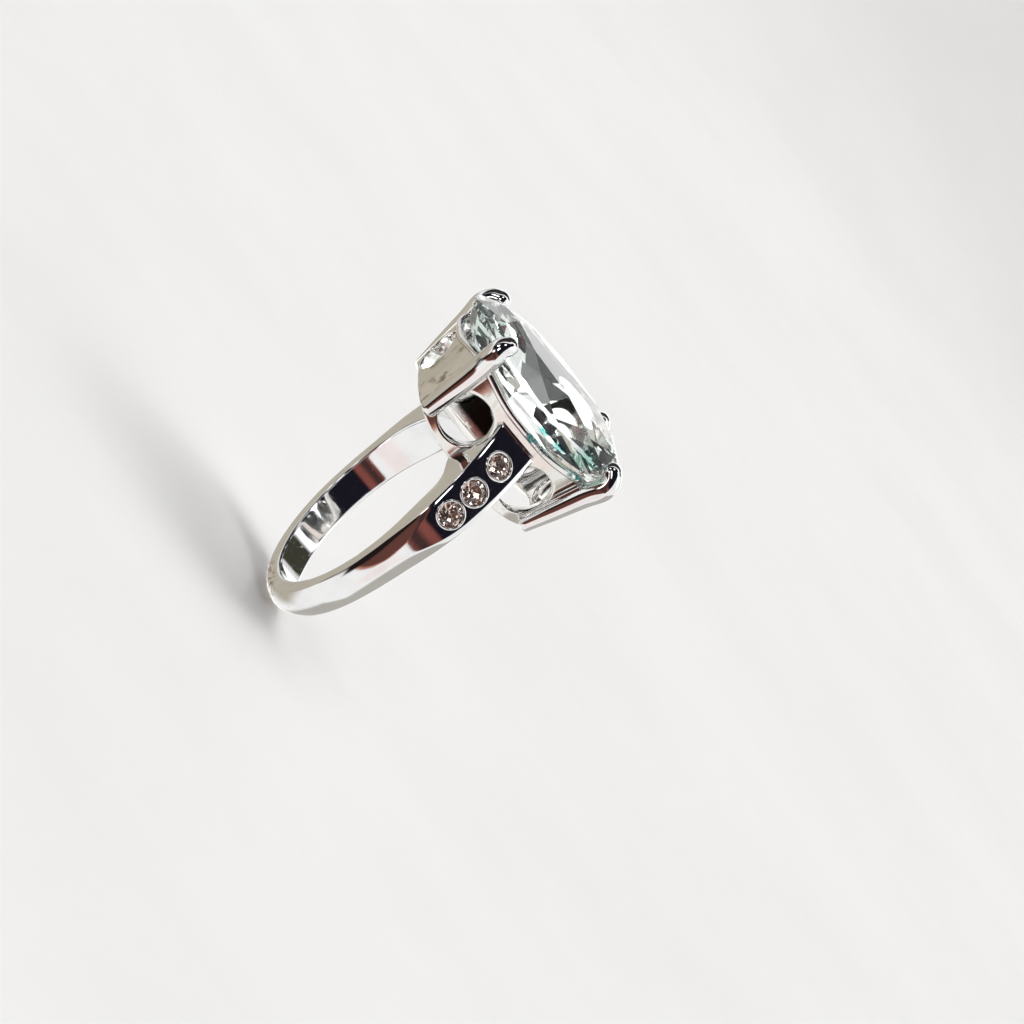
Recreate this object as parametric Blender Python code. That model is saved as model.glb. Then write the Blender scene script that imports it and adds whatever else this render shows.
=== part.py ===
"""A cocktail ring: one large oval stone in four claws, over a pierced gallery, on a shank with gem-set shoulders.

Lengths are metres. The origin is the middle of the finger hole, which runs along Y.
The head is up +Z, and the two shoulders lie towards +X (right) and -X (left).
The front is -Y, the side towards the fingertip.
"""

import math

import bmesh
import bpy
from mathutils import Matrix, Vector

MM = 0.001
GAP = 0.03 * MM  # clearance between two pieces that touch

# Shank, by angle up from +X in degrees. The finger hole is a US size 8.
FINGER_RADIUS = 9.05 * MM
SHANK_BOTTOM = -90.0
SHOULDER_END = 63.6
THICKNESS = ((-90.0, 1.80), (-35.0, 1.80), (0.0, 1.78), (30.0, 2.80), (42.0, 3.46), (53.5, 4.16), (63.6, 4.90))
HALF_WIDTH = ((-90.0, 1.25), (-35.0, 1.32), (0.0, 1.45), (30.0, 1.68), (57.0, 1.90), (63.6, 1.96))
DOME_DROP = ((-90.0, 0.62), (0.0, 0.60), (35.0, 0.48), (63.6, 0.42))
DOME_POWER = 1.9
FLAT_START, FLAT_FULL = -24.0, 33.0  # where the flat face of the shoulder begins and reaches its full width
FLAT_PART = 0.83  # the flat's share of the shoulder's width
INNER_EDGE = 0.16 * MM  # rounded corner at the finger
ROOT_HALF_WIDTH = 1.40 * MM  # the shoulder is narrower than its face where it meets the gallery's wall
ROOT_FLARE = 0.62 * MM  # its sides spread by this much at the gallery's foot
ROOT_FLARE_REACH = 8.0  # degrees
ROOT_FLARE_RISE = 0.9 * MM  # how fast the spread dies out above the foot
STATION_STEP = 5.0  # degrees
WALL_STATIONS = 5

# Gallery: a flared oval wall, half-axes across X and along Y, with a rim that rises at the claws
GALLERY_FOOT = (5.15 * MM, 7.20 * MM)
GALLERY_TOP = (5.95 * MM, 8.00 * MM)
GALLERY_FOOT_Z = 7.40 * MM
GALLERY_TOP_Z = 13.65 * MM
GALLERY_POWER = 3.0
WALL = 1.05 * MM
RAIL_HEIGHT = 0.55 * MM
RAIL_OVERHANG = 0.07 * MM
RIM_RISE = 0.70 * MM
GALLERY_SEGMENTS = 72
SIDE_HOLE = (2.05 * MM, 3.60 * MM, 10.45 * MM)  # radius, distance along Y, height
END_HOLE = (1.82 * MM, 11.20 * MM)  # radius, height

# Claws, in millimetres: centre line of the one at +X and +Y, from foot to tip, and the bar's radius along it
CLAW_PATH = (
    (4.72, 5.85, 8.60),
    (4.93, 6.22, 11.20),
    (5.10, 6.55, 13.60),
    (5.34, 6.86, 15.10),
    (5.26, 6.72, 15.90),
    (5.00, 6.30, 16.34),
)
CLAW_BULGE_Z = 15.10
CLAW_RADIUS = ((8.60, 0.66), (11.20, 0.80), (14.60, 0.92), (16.34, 0.78))
CLAW_STEPS = 14
CLAW_SIDES = 14

# Stones, as shares of the girdle's radius: crown height, girdle height, pavilion depth, table radius, star radius,
# and the radius and depth of the break facets under the girdle
CENTER_CUT = {
    "crown": 0.160,
    "girdle": 0.052,
    "pavilion": 0.528,
    "table": 0.63,
    "star": 0.81,
    "break_radius": 0.86,
    "break_depth": 0.125,
}
ACCENT_CUT = {
    "crown": 0.30,
    "girdle": 0.08,
    "pavilion": 0.80,
    "table": 0.56,
    "star": 0.76,
    "break_radius": 0.60,
    "break_depth": 0.36,
}
CENTER_HALF_X = 6.5 * MM
CENTER_HALF_Y = 9.0 * MM
CENTER_GIRDLE_Z = 15.70 * MM
CENTER_SIDES = 64
ACCENT_RADIUS = 0.94 * MM
ACCENT_SINK = 0.12 * MM  # the girdle's depth under the shoulder's face
ACCENT_SIDES = 24

# Collets: short tubes that are let into the shoulder's face
ACCENT_ANGLES = {"upper": 53.5, "middle": 41.3, "lower": 30.3}
COLLET_RADIUS = 1.17 * MM
COLLET_BORE = ACCENT_RADIUS + GAP
COLLET_PROUD = 0.12 * MM
COLLET_DEPTH = 1.05 * MM
COLLET_LEDGE = (0.62 * MM, 0.50 * MM)  # bore and depth of the seat under the stone
COLLET_SIDES = 24


def clear_scene():
    for obj in list(bpy.data.objects):
        bpy.data.objects.remove(obj)


def make_material(name, colour, roughness, metallic, transmission=0.0, ior=1.5):
    material = bpy.data.materials.new(name)
    material.use_nodes = True
    shader = material.node_tree.nodes["Principled BSDF"]
    shader.inputs["Base Color"].default_value = (*colour, 1.0)
    shader.inputs["Roughness"].default_value = roughness
    shader.inputs["Metallic"].default_value = metallic
    shader.inputs["Transmission Weight"].default_value = transmission
    shader.inputs["IOR"].default_value = ior
    return material


def make_object(name, bm, material, sharp_angle=40.0):
    bmesh.ops.recalc_face_normals(bm, faces=bm.faces)
    mesh = bpy.data.meshes.new(name)
    bm.to_mesh(mesh)
    bm.free()
    mesh.shade_smooth()
    mesh.set_sharp_from_angle(angle=math.radians(sharp_angle))
    obj = bpy.data.objects.new(name, mesh)
    bpy.context.scene.collection.objects.link(obj)
    if material:
        mesh.materials.append(material)
    return obj


def make_cutter(name, bm):
    cutter = make_object(name, bm, None)
    cutter.hide_render = True
    cutter.display_type = "WIRE"
    return cutter


def cut_away(obj, cutter):
    modifier = obj.modifiers.new(f"minus_{cutter.name}", "BOOLEAN")
    modifier.operation = "DIFFERENCE"
    modifier.solver = "EXACT"
    modifier.object = cutter


def smooth_value(stops, x):
    """A cubic through hand-set stops (x, value), with the slope at each stop taken from its neighbours."""
    last = len(stops) - 1
    index = 0
    while index < last - 1 and x > stops[index + 1][0]:
        index += 1
    (x0, y0), (x1, y1) = stops[index], stops[index + 1]

    def slope(at):
        before, after = stops[max(at - 1, 0)], stops[min(at + 1, last)]
        return (after[1] - before[1]) / (after[0] - before[0])

    span = x1 - x0
    t = (x - x0) / span
    rise = (t * t * (3 - 2 * t)) * (y1 - y0)
    bend = t * (1 - t) ** 2 * slope(index) * span - t * t * (1 - t) * slope(index + 1) * span
    return y0 + rise + bend


def smooth_step(low, high, x):
    t = min(max((x - low) / (high - low), 0.0), 1.0)
    return t * t * (3 - 2 * t)


def loft(bm, rings, closed=False):
    """Quads between rings of points that have the same count. An open loft gets a cap at each end."""
    rows = [[bm.verts.new(point) for point in ring] for ring in rings]
    pairs = list(zip(rows, rows[1:]))
    if closed:
        pairs.append((rows[-1], rows[0]))
    for lower, upper in pairs:
        for index in range(len(lower)):
            after = (index + 1) % len(lower)
            bm.faces.new((lower[index], lower[after], upper[after], upper[index]))
    if not closed:
        bm.faces.new(rows[0])
        bm.faces.new(rows[-1])


def add_cylinder(bm, radius, length, matrix, sides):
    bmesh.ops.create_cone(
        bm,
        cap_ends=True,
        segments=sides,
        radius1=radius,
        radius2=radius,
        depth=length,
        matrix=matrix,
    )


# Shank


def shank_outer(angle):
    """The point on the middle of the shank's outer face, as (x, z), for an angle up to the shoulder's end."""
    reach = FINGER_RADIUS + smooth_value(THICKNESS, angle) * MM
    return Vector((math.cos(math.radians(angle)), math.sin(math.radians(angle)))) * reach


def root_half_width(z, angle):
    """Half the width at the finger side, or, above the gallery's foot, at the gallery's wall."""
    if angle <= GALLERY_FOOT_ANGLE:
        narrowing = smooth_step(15.0, GALLERY_FOOT_ANGLE, angle)
        plain = smooth_value(HALF_WIDTH, angle) * MM
        flare = ROOT_FLARE * math.exp(-(((angle - GALLERY_FOOT_ANGLE) / ROOT_FLARE_REACH) ** 2))
        return plain + (ROOT_HALF_WIDTH - plain) * narrowing + flare
    foot_z = math.sin(math.radians(GALLERY_FOOT_ANGLE)) * FINGER_RADIUS
    return ROOT_HALF_WIDTH + ROOT_FLARE * math.exp(-(((z - foot_z) / ROOT_FLARE_RISE) ** 2))


def shank_section(inner, outer, angle):
    """One cross-section, from (x, z) points at the finger side and the outer face."""
    across = outer - inner
    depth = across.length
    across.normalize()
    half_width = smooth_value(HALF_WIDTH, angle) * MM
    drop = min(smooth_value(DOME_DROP, angle) * MM, 0.7 * depth)
    over = drop * FLAT_PART**DOME_POWER * smooth_step(FLAT_START, FLAT_FULL, angle)
    flat = max((over / drop) ** (1 / DOME_POWER), 0.25)
    edge = min(INNER_EDGE, 0.3 * depth)
    root = root_half_width(inner.y, angle)
    right = [(root - edge, 0.0), (root, edge), (half_width, depth - drop)]
    for part in ((1 + flat) / 2, flat, flat / 2):
        height = min(depth, depth + over - drop * part**DOME_POWER)
        right.append((half_width * part, height))
    crest = [(0.0, depth)]
    left = [(-y, height) for y, height in reversed(right)]
    points = []
    for y, height in right + crest + left:
        place = inner + across * height
        points.append(Vector((place.x, y, place.y)))
    return points


GALLERY_FOOT_ANGLE = math.degrees(math.acos((GALLERY_FOOT[0] + GAP) / FINGER_RADIUS))


def shank_half():
    """Cross-sections from the bottom of the ring up the right side to the shoulder's squared end."""
    sections = []
    steps = round((GALLERY_FOOT_ANGLE - SHANK_BOTTOM) / STATION_STEP)
    for index in range(steps + 1):
        angle = SHANK_BOTTOM + (GALLERY_FOOT_ANGLE - SHANK_BOTTOM) * index / steps
        inner = Vector((math.cos(math.radians(angle)), math.sin(math.radians(angle)))) * FINGER_RADIUS
        sections.append(shank_section(inner, shank_outer(angle), angle))
    foot_z = math.sin(math.radians(GALLERY_FOOT_ANGLE)) * FINGER_RADIUS
    end_z = shank_outer(SHOULDER_END).y
    for index in range(1, WALL_STATIONS + 1):
        share = index / WALL_STATIONS
        angle = GALLERY_FOOT_ANGLE + (SHOULDER_END - GALLERY_FOOT_ANGLE) * share
        wall_z = foot_z + (end_z - foot_z) * share
        inner = Vector((gallery_half_axes(wall_z)[0] + GAP, wall_z))
        sections.append(shank_section(inner, shank_outer(angle), angle))
    return sections


def shoulder_frame(side, angle):
    """The matrix at an accent stone's place, with Z standing out of the shoulder's flat face."""
    here = shank_outer(angle)
    along = shank_outer(angle + 1.0) - shank_outer(angle - 1.0)
    along.normalize()
    tangent = Vector((along.x * side, 0.0, along.y))
    normal = Vector((along.y * side, 0.0, -along.x))
    sideways = normal.cross(tangent)
    frame = Matrix((tangent, sideways, normal)).transposed().to_4x4()
    frame.translation = Vector((here.x * side, 0.0, here.y))
    return frame


def make_shank(material):
    right = shank_half()
    left = [[Vector((-p.x, p.y, p.z)) for p in section] for section in right[1:]]
    bm = bmesh.new()
    loft(bm, list(reversed(left)) + right)
    shank = make_object("shank", bm, material, 30.0)
    seats = bmesh.new()
    for side in (1, -1):
        for angle in ACCENT_ANGLES.values():
            reach = COLLET_DEPTH + GAP
            place = shoulder_frame(side, angle) @ Matrix.Translation((0, 0, -reach / 2 + 0.5 * MM))
            add_cylinder(seats, COLLET_RADIUS + GAP, reach + 1.0 * MM, place, COLLET_SIDES)
    cut_away(shank, make_cutter("seat_drill", seats))


# Gallery


def gallery_half_axes(z):
    """The outer wall's half-axes at a height."""
    share = (z - GALLERY_FOOT_Z) / (GALLERY_TOP_Z - GALLERY_FOOT_Z)
    return tuple(foot + (top - foot) * share for foot, top in zip(GALLERY_FOOT, GALLERY_TOP))


def oval_point(half_axes, angle, z):
    """A point on the gallery's squarish oval, in the direction of an angle."""
    across, along = math.cos(angle), math.sin(angle)
    total = abs(across / half_axes[0]) ** GALLERY_POWER + abs(along / half_axes[1]) ** GALLERY_POWER
    reach = total ** (-1 / GALLERY_POWER)
    return Vector((across * reach, along * reach, z))


def rim_height(angle):
    """The height of the rim's top, lowest mid-side and mid-end and highest at the claws."""
    along = math.sin(angle) / GALLERY_TOP[1]
    across = math.cos(angle) / GALLERY_TOP[0]
    turn = 2 * math.atan2(along, across)
    return GALLERY_TOP_Z + RIM_RISE * math.sin(turn) ** 4


def gallery_ring(inset, height_of):
    """A closed ring of points, set in from the outer wall, at the height that a function gives for each angle."""
    ring = []
    for index in range(GALLERY_SEGMENTS):
        angle = 2 * math.pi * index / GALLERY_SEGMENTS
        z = height_of(angle)
        half_axes = [half - inset for half in gallery_half_axes(z)]
        ring.append(oval_point(half_axes, angle, z))
    return ring


def wall_top(angle):
    return rim_height(angle) - RAIL_HEIGHT - GAP


def wall_bottom(angle):
    return GALLERY_FOOT_Z - 0.6 * MM


def make_gallery(material, claw_cutter):
    bm = bmesh.new()
    loft(
        bm,
        [
            gallery_ring(0.0, wall_bottom),
            gallery_ring(0.0, wall_top),
            gallery_ring(WALL, wall_top),
            gallery_ring(WALL, wall_bottom),
        ],
        closed=True,
    )
    gallery = make_object("gallery", bm, material)
    cut_away(gallery, claw_cutter)
    piercing = bmesh.new()
    radius, offset, height = SIDE_HOLE
    for y in (offset, -offset):
        place = Matrix.Translation((0, y, height)) @ Matrix.Rotation(math.pi / 2, 4, "Y")
        add_cylinder(piercing, radius, 30 * MM, place, 32)
    cut_away(gallery, make_cutter("side_piercing", piercing))
    ends = bmesh.new()
    radius, height = END_HOLE
    place = Matrix.Translation((0, 0, height)) @ Matrix.Rotation(math.pi / 2, 4, "X")
    add_cylinder(ends, radius, 30 * MM, place, 32)
    cut_away(gallery, make_cutter("end_piercing", ends))
    saddle = bmesh.new()
    add_cylinder(saddle, FINGER_RADIUS, 30 * MM, Matrix.Rotation(math.pi / 2, 4, "X"), 96)
    cut_away(gallery, make_cutter("finger_saddle", saddle))


def make_rail(material, claw_cutter, stone_cutter):
    """The rounded rim that lies on the gallery's wall, under the stone."""

    def at_height(share):
        return lambda angle: rim_height(angle) - RAIL_HEIGHT * (1 - share)

    bm = bmesh.new()
    loft(
        bm,
        [
            gallery_ring(-RAIL_OVERHANG / 2, at_height(0.0)),
            gallery_ring(-RAIL_OVERHANG, at_height(0.5)),
            gallery_ring(0.15 * WALL, at_height(0.9)),
            gallery_ring(0.40 * WALL, at_height(1.0)),
            gallery_ring(0.85 * WALL, at_height(0.85)),
            gallery_ring(WALL, at_height(0.5)),
            gallery_ring(WALL, at_height(0.0)),
        ],
        closed=True,
    )
    rail = make_object("gallery_rail", bm, material)
    cut_away(rail, claw_cutter)
    cut_away(rail, stone_cutter)


# Claws


def claw_path(side_x, side_y, lean):
    """The centre line of one claw. Its upper part leans along Y, as each was pushed over the stone by hand."""
    stops = ((CLAW_PATH[0][2], 0.0), (CLAW_BULGE_Z, lean[0]), (CLAW_PATH[-1][2], lean[1]))
    return [Vector((x * side_x, y * side_y + smooth_value(stops, z), z)) for x, y, z in CLAW_PATH]


def curve_point(path, share):
    """A point on the smooth curve through a path's points, at a share of the way along."""
    last = len(path) - 1
    place = share * last
    stops = [[(index, point[axis]) for index, point in enumerate(path)] for axis in range(3)]
    return Vector([smooth_value(stops[axis], place) for axis in range(3)])


def add_claw(bm, side_x, side_y, lean, grow=0.0):
    """Adds a round bar with a domed foot and a domed tip."""
    path = claw_path(side_x, side_y, lean)
    centres = [curve_point(path, index / CLAW_STEPS) * MM for index in range(CLAW_STEPS + 1)]
    tangents = []
    for index in range(len(centres)):
        ahead = centres[min(index + 1, CLAW_STEPS)]
        behind = centres[max(index - 1, 0)]
        tangents.append((ahead - behind).normalized())
    rings = []
    sideways = Vector((side_y, -side_x, 0)).normalized()

    def add_ring(centre, tangent, radius):
        first = (sideways - tangent * sideways.dot(tangent)).normalized()
        second = tangent.cross(first)
        ring = []
        for index in range(CLAW_SIDES):
            turn = 2 * math.pi * index / CLAW_SIDES
            ring.append(centre + (first * math.cos(turn) + second * math.sin(turn)) * radius)
        rings.append(ring)

    dome = [math.radians(angle) for angle in (15, 45, 70)]
    foot = CLAW_RADIUS[0][1] * MM + grow
    for angle in dome:
        centre = centres[0] - tangents[0] * foot * math.cos(angle)
        add_ring(centre, tangents[0], foot * math.sin(angle))
    for centre, tangent in zip(centres, tangents):
        add_ring(centre, tangent, smooth_value(CLAW_RADIUS, centre.z / MM) * MM + grow)
    tip = CLAW_RADIUS[-1][1] * MM + grow
    for angle in reversed(dome):
        centre = centres[-1] + tangents[-1] * tip * math.cos(angle)
        add_ring(centre, tangents[-1], tip * math.sin(angle))
    loft(bm, rings)


# Each claw's side along X and Y, and how far its bulge and its tip lean towards +Y, in millimetres
CORNERS = {
    "front_right": (1, -1, (0.50, 0.15)),
    "back_right": (1, 1, (0.32, 0.30)),
    "front_left": (-1, -1, (0.05, 0.05)),
    "back_left": (-1, 1, (0.0, 0.0)),
}


def make_claw_cutter():
    bm = bmesh.new()
    for side_x, side_y, lean in CORNERS.values():
        add_claw(bm, side_x, side_y, lean, GAP)
    return make_cutter("claw_grooves", bm)


def make_claws(material, stone_cutter):
    for corner, (side_x, side_y, lean) in CORNERS.items():
        bm = bmesh.new()
        add_claw(bm, side_x, side_y, lean)
        claw = make_object(f"claw_{corner}", bm, material)
        cut_away(claw, stone_cutter)


# Stones


def polar(radius, degrees, z):
    angle = math.radians(degrees)
    return Vector((radius * math.cos(angle), radius * math.sin(angle), z))


def grind(bm, first, second, third):
    """Cuts one flat facet through three points and keeps the side that holds the stone's middle."""
    normal = (second - first).cross(third - first).normalized()
    if normal.dot(first) < 0:
        normal = -normal
    everything = bm.verts[:] + bm.edges[:] + bm.faces[:]
    bmesh.ops.bisect_plane(bm, geom=everything, dist=1e-5, plane_co=first, plane_no=normal, clear_outer=True)
    rim = [edge for edge in bm.edges if edge.is_boundary]
    if rim:
        bmesh.ops.holes_fill(bm, edges=rim, sides=0)


def brilliant(cut, sides):
    """A brilliant with a girdle of radius 1, its middle at the origin and its table up."""
    half = cut["girdle"] / 2
    table_z = half + cut["crown"]
    culet = Vector((0, 0, -half - cut["pavilion"]))
    star_share = (1 - cut["star"] * math.cos(math.radians(22.5))) / (1 - cut["table"])
    star_z = half + cut["crown"] * star_share
    break_z = -half - cut["break_depth"]
    bm = bmesh.new()
    height = table_z - culet.z
    middle = Matrix.Translation((0, 0, (table_z + culet.z) / 2))
    add_cylinder(bm, 1.0, height, middle @ Matrix.Rotation(math.pi / sides, 4, "Z"), sides)
    for index in range(8):
        kite = 45.0 * index
        level = Vector((-math.sin(math.radians(kite)), math.cos(math.radians(kite)), 0))
        girdle = polar(1, kite, half)
        table = polar(cut["table"], kite, table_z)
        star = polar(cut["star"], kite + 22.5, star_z)
        grind(bm, girdle, table, girdle + level)
        grind(bm, table, polar(cut["table"], kite + 45, table_z), star)
        grind(bm, star, girdle, polar(1, kite + 22.5, half))
        grind(bm, star, polar(1, kite + 22.5, half), polar(1, kite + 45, half))
        corner = polar(cut["break_radius"], kite, break_z)
        grind(bm, culet, corner, corner + level)
        for start in (kite, kite + 22.5):
            lower = polar(cut["break_radius"], start + 11.25, break_z)
            grind(bm, polar(1, start, -half), polar(1, start + 22.5, -half), lower)
    bmesh.ops.remove_doubles(bm, verts=bm.verts, dist=1e-4)
    return bm


def make_center_stone(material):
    bm = brilliant(CENTER_CUT, CENTER_SIDES)
    bm.transform(Matrix.Diagonal((CENTER_HALF_X, CENTER_HALF_Y, CENTER_HALF_Y, 1)))
    stone = make_object("center_stone", bm, material, 1.0)
    stone.location.z = CENTER_GIRDLE_Z


def make_stone_cutter():
    """The center stone's outer shape, larger all round by the clearance."""
    bm = brilliant(CENTER_CUT, CENTER_SIDES)
    size = (CENTER_HALF_X + GAP, CENTER_HALF_Y + GAP, CENTER_HALF_Y + 4 * GAP)
    bm.transform(Matrix.Diagonal((*size, 1)))
    cutter = make_cutter("stone_seat", bm)
    cutter.location.z = CENTER_GIRDLE_Z
    return cutter


def make_accent_stone(name, frame, material):
    bm = brilliant(ACCENT_CUT, ACCENT_SIDES)
    bm.transform(Matrix.Scale(ACCENT_RADIUS, 4))
    stone = make_object(name, bm, material, 1.0)
    stone.matrix_world = frame @ Matrix.Translation((0, 0, -ACCENT_SINK))


def make_collet(name, frame, material):
    """A turned tube with a rounded lip and a seat for its stone."""
    ledge_bore, ledge_depth = COLLET_LEDGE
    lip = 0.08 * MM
    profile = (
        (ledge_bore, -COLLET_DEPTH),
        (COLLET_RADIUS, -COLLET_DEPTH),
        (COLLET_RADIUS, COLLET_PROUD - lip),
        (COLLET_RADIUS - lip, COLLET_PROUD),
        (COLLET_BORE + lip / 2, COLLET_PROUD),
        (COLLET_BORE, COLLET_PROUD - lip),
        (COLLET_BORE, -ACCENT_SINK - 0.10 * MM),
        (ledge_bore, -ledge_depth),
    )
    rings = []
    for radius, z in profile:
        rings.append([polar(radius, 360 * index / COLLET_SIDES, z) for index in range(COLLET_SIDES)])
    bm = bmesh.new()
    loft(bm, rings, closed=True)
    collet = make_object(name, bm, material)
    collet.matrix_world = frame


def build():
    clear_scene()
    polished = make_material("polished_white_metal", (0.80, 0.80, 0.81), 0.08, 1.0)
    satin = make_material("gallery_white_metal", (0.72, 0.71, 0.68), 0.18, 1.0)
    clear = make_material("clear_glass", (0.90, 0.97, 0.96), 0.0, 0.0, 1.0, 1.55)
    champagne = make_material("champagne_crystal", (0.95, 0.86, 0.78), 0.0, 0.0, 1.0, 1.65)
    claw_cutter = make_claw_cutter()
    stone_cutter = make_stone_cutter()
    make_shank(polished)
    make_gallery(satin, claw_cutter)
    make_rail(polished, claw_cutter, stone_cutter)
    make_claws(polished, stone_cutter)
    make_center_stone(clear)
    for side_name, side in (("right", 1), ("left", -1)):
        for level, angle in ACCENT_ANGLES.items():
            frame = shoulder_frame(side, angle)
            make_collet(f"collet_{side_name}_{level}", frame, polished)
            make_accent_stone(f"accent_stone_{side_name}_{level}", frame, champagne)


build()
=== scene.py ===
"""The looks of a cocktail ring: polished white metal, a large clear oval stone and six small crystals.

The shapes are made in millimetres, in the frame's own axes, and scaled to metres when a piece is placed.
The head is up +Z, the finger hole runs along Y, and the shoulders lie towards +X (right) and -X (left).
"""

import math

import bmesh
import bpy
from mathutils import Matrix, Vector, noise


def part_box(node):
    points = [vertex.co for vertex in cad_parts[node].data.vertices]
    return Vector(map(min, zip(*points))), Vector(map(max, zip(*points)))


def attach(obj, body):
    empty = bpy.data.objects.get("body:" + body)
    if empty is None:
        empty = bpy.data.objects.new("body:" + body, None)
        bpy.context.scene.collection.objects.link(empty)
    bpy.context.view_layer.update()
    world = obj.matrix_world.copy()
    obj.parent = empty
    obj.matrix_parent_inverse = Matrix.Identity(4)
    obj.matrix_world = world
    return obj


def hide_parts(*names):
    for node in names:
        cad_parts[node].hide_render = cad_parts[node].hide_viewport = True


MM = 0.001
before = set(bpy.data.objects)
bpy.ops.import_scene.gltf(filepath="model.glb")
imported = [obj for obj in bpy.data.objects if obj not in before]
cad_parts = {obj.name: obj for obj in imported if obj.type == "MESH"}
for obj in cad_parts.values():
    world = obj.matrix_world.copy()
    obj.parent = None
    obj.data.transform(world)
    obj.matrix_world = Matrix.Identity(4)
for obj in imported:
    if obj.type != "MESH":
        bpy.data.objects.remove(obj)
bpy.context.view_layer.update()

# Backdrop: rings of the flat floor, then where it starts to rise, its sweep's radius and its wall's height
FLOOR_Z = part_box("shank")[0].z / MM
FLOOR_RINGS = (0.01, 60.0, 200.0)
SWEEP_START, SWEEP, WALL_TOP = 450.0, 300.0, 700.0
SWEEP_STEPS, BACKDROP_SIDES = 16, 96

# View: the camera's place round the ring, its roll, and the point that it looks at
CAMERA_SIDE = math.radians(18.587)  # from +X towards -Y
CAMERA_RISE = math.radians(12.062)
CAMERA_ROLL = math.radians(53.715)
CAMERA_DISTANCE = 388.6
CAMERA_AIM = (9.80, -0.16)  # how far right of the finger hole's middle, and above it, as the camera sees them
CAMERA_LENS, CAMERA_SENSOR = 180.1, 36.0
CAMERA_CLIP = (0.01, 10.0)  # metres

# Light: a white tent round the ring, with panels that the metal and the stones mirror, and a soft sun.
# A panel's place is its turn, the angle from +X up towards +Z, and its side, the angle from there towards +Y.
# A row holds where the turn starts and ends, where the side starts and ends, how far the side's end moves for
# each degree of turn, the softness of the edges, all in degrees, and the colour.
# Later rows cover earlier ones.
SUN_FROM = (-0.12, 0.25, 1.0)
SUN_POWER = 1.75
SUN_WIDTH = 50.0  # degrees
TENT_WHITE = (1.0, 0.995, 0.98)
PANELS = (
    # overhead, then low round the left and the back
    ((60, 105), (-60, 70), 0, 10, (1.5, 1.5, 1.52)),
    ((-176, -112), (-75, 0), 0, 10, (0.50, 0.46, 0.38)),
    ((140, 175), (-50, 60), 0, 10, (0.75, 0.74, 0.74)),
    ((-190, -152), (4, 44), 0, 6, (1.6, 1.6, 1.55)),
    ((152, 190), (4, 44), 0, 6, (1.5, 1.5, 1.5)),
    ((-172, -80), (22, 89), 0, 6, (0.50, 0.48, 0.44)),
    # high on the left, dark, where the stone's crown mirrors it
    ((101, 142), (-5, 40), 0, 3, (0.05, 0.05, 0.035)),
    # low at the back of the right
    ((-85, -18), (50, 89), 0, 4, (0.50, 0.48, 0.44)),
    # high on the left and the front, black, for the claws' tips
    ((94, 156), (-92, 12), 0, 4, (0.035, 0.032, 0.034)),
    # low on the right
    ((-40, -19), (6, 34), 0, 5, (1.0, 0.90, 0.87)),
    # low at the front, for the gallery's front end and the claws beside it
    ((-122, -50), (-57, -46), 0, 4, (0.06, 0.042, 0.033)),
    ((-130, -40), (-90, -57), 0, 3, (0.55, 0.50, 0.42)),
    # low at the front of the right, red-brown round black, for the shank's lower sides
    ((-57, -7), (-57, -59), 1.6, 3, (0.50, 0.22, 0.16)),
    ((-57, -7), (-57, -64), 1.6, 2, (0.13, 0.05, 0.04)),
    ((-57, -7), (-57, -38), 0, 3, (0.015, 0.011, 0.010)),
    # level with the right shoulder, dark red
    ((-9, 12), (-92, 23), 0, 2, (0.10, 0.045, 0.035)),
    ((-9, 12), (0, 23), 0, 2, (0.24, 0.075, 0.06)),
    ((-7, 1), (-46, 23), 0, 3, (0.06, 0.03, 0.028)),
    # high on the right, black, for the shoulder's flat face
    ((9, 86), (-92, 23), 0, 2, (0.010, 0.009, 0.015)),
    # small bright lamps in the dark, for glints
    ((18, 30), (-37, -24), 0, 1.5, (4.5, 4.5, 4.6)),
    ((38, 52), (-64, -50), 0, 1.5, (4.5, 4.5, 4.6)),
    ((58, 68), (-22, -12), 0, 1.5, (4.5, 4.4, 4.2)),
    ((-6, 6), (-54, -44), 0, 1.5, (3.5, 3.3, 3.1)),
)

# Shank, by angle up from +X in degrees
FINGER_RADIUS = 9.05
SHANK_BOTTOM = -90.0
SHOULDER_END = 63.6
THICKNESS = (
    (-90.0, 1.80),
    (-35.0, 1.80),
    (0.0, 1.78),
    (30.0, 2.80),
    (42.0, 3.46),
    (53.5, 4.16),
    (63.6, 4.90),
)
HALF_WIDTH = ((-90.0, 1.25), (-35.0, 1.32), (0.0, 1.45), (30.0, 1.68), (57.0, 1.90), (63.6, 1.96))
DOME_DROP = ((-90.0, 0.62), (0.0, 0.60), (35.0, 0.48), (63.6, 0.42))  # from the dome's crest to its edges
DOME_POWER = 1.9
FLAT_START, FLAT_FULL = 2.0, 33.0  # where the shoulder's flat face begins and reaches its full width
FLAT_PART = 0.83  # the flat's share of the shoulder's width
CREASE = 0.035  # how softly the flat face turns into the dome
SIDE_EDGE = 0.12  # rounded corners beside the outer face and at the finger
INNER_EDGE = 0.22
ROOT_HALF_WIDTH = 1.40  # the shoulder is narrower than its face where it meets the gallery's wall
ROOT_NARROWING = 15.0  # the angle at which it starts to narrow
ROOT_FLARE = 0.62  # its sides spread by this much at the gallery's foot
ROOT_FLARE_REACH = 8.0  # degrees
ROOT_FLARE_RISE = 0.9  # how fast the spread dies out above the foot
ROOT_SINK = 0.10  # how far the shoulder runs into the gallery's wall, as a soldered joint does
STATION_STEP = 1.25  # degrees
WALL_STATIONS = 20
SEAM_MIDDLE = 0.9  # where the band's closing seam lies along X, at the bottom
SEAM_ROUGHNESS, SEAM_GRAIN = 0.16, 1.3
SEAM_HEIGHTS = (-10.5, -9.7)  # the seam is fully uneven below the first and smooth above the second
SEAM_REACH = (0.7, 1.2)  # its unevenness grows over this distance from the finger hole

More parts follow.
